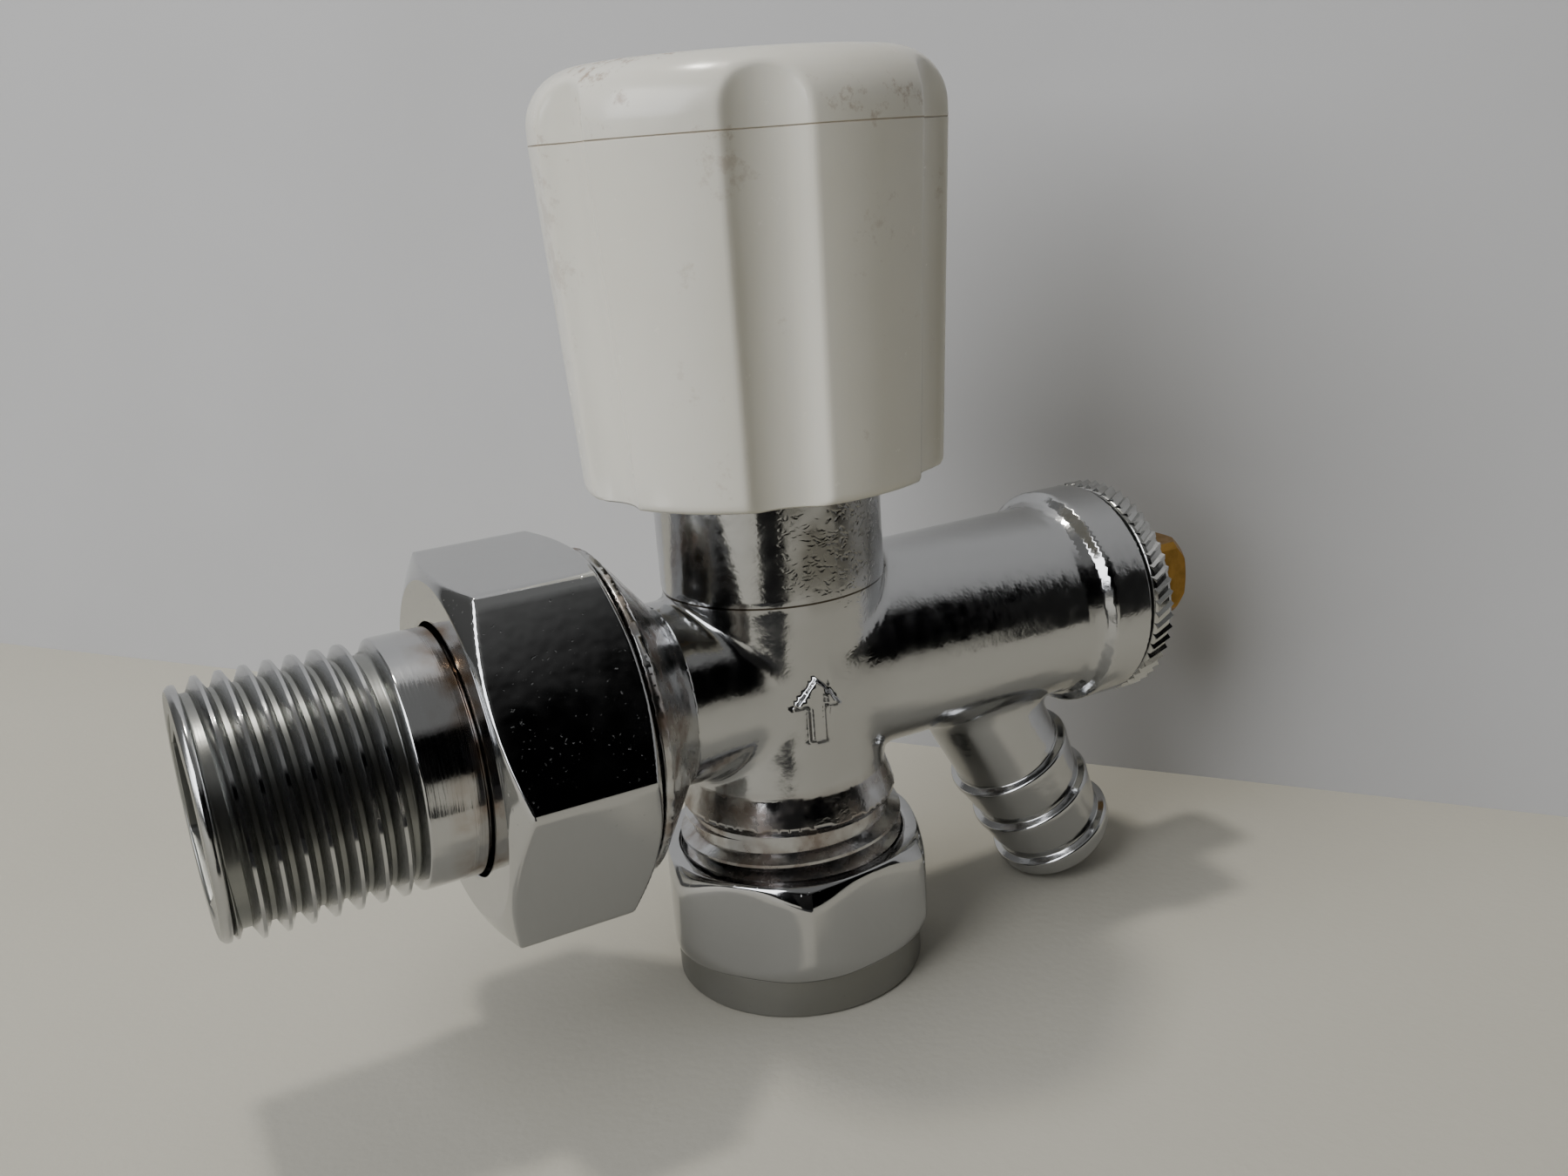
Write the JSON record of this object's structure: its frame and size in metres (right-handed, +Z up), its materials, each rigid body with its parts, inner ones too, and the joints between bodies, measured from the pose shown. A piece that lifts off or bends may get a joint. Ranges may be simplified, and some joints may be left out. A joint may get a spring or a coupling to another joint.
{
  "type": "angle radiator valve with drain-off",
  "caption": "Chrome angle valve: compression pipe inlet below, threaded union tail at the side, screw-down wheelhead on top and a drain leg with a barbed hose tail.",
  "frame": {"origin": "centre of the compression nut's lower face, on the spindle axis", "axes": "+Z up along the spindle axis, +X towards the drain leg, -X towards the union tail, -Y the side with the raised arrow"},
  "size_m": [0.0978, 0.0346, 0.0836],
  "materials": {
    "forged_chrome": "chrome plate over forged brass, slightly dimpled",
    "turned_chrome": "chrome plate over turned brass, scratched",
    "knurled_chrome": "bright knurled chrome plate",
    "brass": "bare machined brass, dulled",
    "steel": "zinc-plated steel",
    "cream_plastic": "glossy moulded plastic, slightly yellowed",
    "black_rubber": "smooth black rubber",
    "fibre": "pressed fibre",
    "packing": "white packing"
  },
  "bodies": {
    "root": {"valve_body": "forged_chrome", "headgear": "brass", "headgear_seal_ring": "fibre", "gland_packing": "packing", "gland_nut": "brass", "union_tail": "turned_chrome", "olive": "brass", "drain_cap_gasket": "black_rubber"},
    "jumper": {"jumper": "brass", "seat_washer": "black_rubber", "washer_nut": "brass"},
    "spindle": {"spindle": "brass", "spindle_o_ring": "black_rubber", "wheelhead": "cream_plastic", "wheelhead_cap": "cream_plastic", "wheelhead_screw": "steel"},
    "union_nut": {"union_nut": "turned_chrome"},
    "compression_nut": {"compression_nut": "turned_chrome"},
    "drain_cap": {"drain_cap": "knurled_chrome"},
    "drain_jumper": {"drain_jumper": "brass", "drain_washer": "black_rubber", "drain_washer_nut": "brass"},
    "drain_spindle": {"drain_spindle": "brass", "drain_o_ring": "black_rubber"}
  },
  "joints": [
    {"name": "valve_lift", "type": "slide", "parent": "root", "child": "jumper", "axis": [0, 0, 1], "range_m": [0, 0.00413]},
    {"name": "wheel_turn", "type": "hinge", "parent": "jumper", "child": "spindle", "pos_m": [0, 0, 0.05], "axis": [0, 0, 1], "range_deg": [0, 990]},
    {"name": "union_nut_turn", "type": "hinge", "parent": "root", "child": "union_nut", "pos_m": [-0.025, 0, 0.02975], "axis": [-1, 0, 0], "range_deg": [0, 1290]},
    {"name": "compression_nut_turn", "type": "hinge", "parent": "root", "child": "compression_nut", "pos_m": [0, 0, 0.007], "axis": [0, 0, -1], "range_deg": [0, 1580]},
    {"name": "drain_cap_turn", "type": "hinge", "parent": "root", "child": "drain_cap", "pos_m": [0.0375, 0, 0.02975], "axis": [1, 0, 0], "range_deg": [0, 1800]},
    {"name": "drain_lift", "type": "slide", "parent": "root", "child": "drain_jumper", "axis": [1, 0, 0], "range_m": [0, 0.004]},
    {"name": "drain_key_turn", "type": "hinge", "parent": "drain_jumper", "child": "drain_spindle", "pos_m": [0.03, 0, 0.02975], "axis": [1, 0, 0], "range_deg": [0, 1152]}
  ],
  "couplings": [
    {"joint": "valve_lift", "follows": "wheel_turn", "m_per_rad": 0.00023873},
    {"joint": "drain_lift", "follows": "drain_key_turn", "m_per_rad": 0.00019894}
  ]
}
